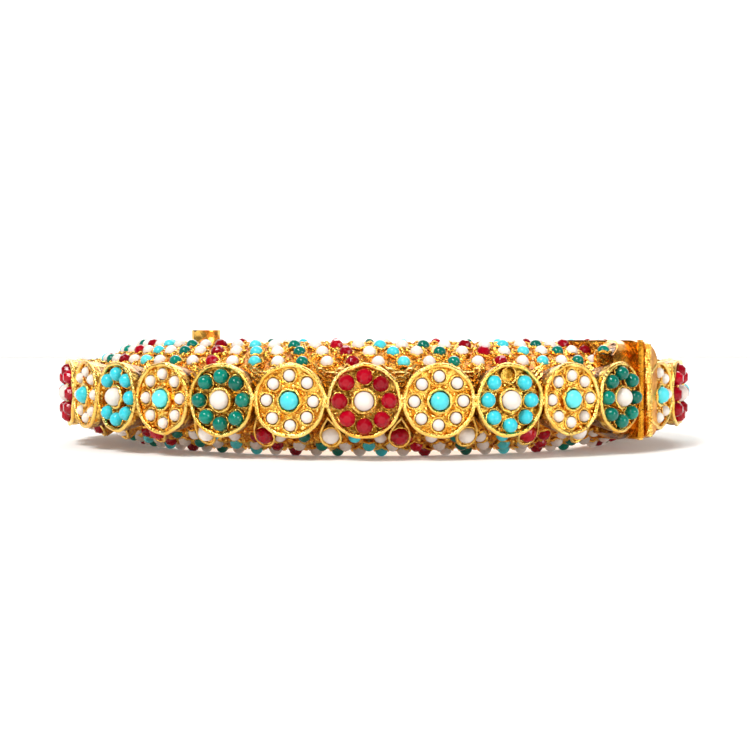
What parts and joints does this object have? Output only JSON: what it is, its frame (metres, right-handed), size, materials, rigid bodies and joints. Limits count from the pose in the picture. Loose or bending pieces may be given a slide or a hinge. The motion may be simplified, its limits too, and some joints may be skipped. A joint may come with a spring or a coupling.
{
  "type": "hinged bangle",
  "caption": "Rigid hinged kada bangle: a closed gold tube carrying a band of bead rosettes and sloping stone rows, with a pinned hinge and a screw clasp.",
  "frame": {"origin": "middle of the underside that the bangle lies on, below the centre of its bounding box", "axes": "+Z along the ring's own axis, up from the surface it lies on; -Y to the front, where the ruby rosette faces"},
  "size_m": [0.0814, 0.0814, 0.0145],
  "materials": {
    "gold": "bright gold plate, lightly hammered",
    "screw_gold": "bright gold plate",
    "ruby": "cut stone, polished",
    "emerald": "cut stone, polished",
    "turquoise": "polished cabochon",
    "pearl": "soft pearl lustre"
  },
  "bodies": {
    "front_half": {"front_shell": "gold", "hinge_pin": "gold", "front_rubies": "ruby", "front_emeralds": "emerald", "front_turquoises": "turquoise", "front_pearls": "pearl", "front_centre_1": "pearl", "front_centre_2": "turquoise", "front_centre_3": "pearl", "front_centre_4": "turquoise", "front_centre_5": "pearl", "front_centre_6": "turquoise", "front_centre_7": "pearl", "front_centre_8": "turquoise", "front_centre_9": "pearl", "front_centre_10": "turquoise", "front_centre_11": "pearl", "front_centre_12": "turquoise", "front_centre_13": "pearl", "front_centre_14": "turquoise", "front_centre_15": "pearl"},
    "back_half": {"back_shell": "gold", "back_rubies": "ruby", "back_emeralds": "emerald", "back_turquoises": "turquoise", "back_centre_1": "turquoise", "back_centre_2": "pearl", "back_centre_3": "turquoise", "back_centre_4": "pearl", "back_centre_5": "turquoise", "back_centre_6": "pearl", "back_centre_7": "turquoise", "back_centre_8": "pearl", "back_centre_9": "turquoise", "back_centre_10": "pearl", "back_centre_11": "turquoise", "back_centre_12": "pearl", "back_centre_13": "turquoise", "back_centre_14": "pearl", "back_centre_15": "turquoise"},
    "screw": {"clasp_screw": "screw_gold"}
  },
  "joints": [
    {"name": "hinge", "type": "hinge", "parent": "front_half", "child": "back_half", "pos_m": [0.03125, -0.02325, 0.0066], "axis": [0, 0, -1], "range_deg": [0, 75]},
    {"name": "clasp_screw_slide", "type": "slide", "parent": "back_half", "child": "screw", "axis": [0, 0, 1], "range_m": [0, 0.0095]}
  ]
}
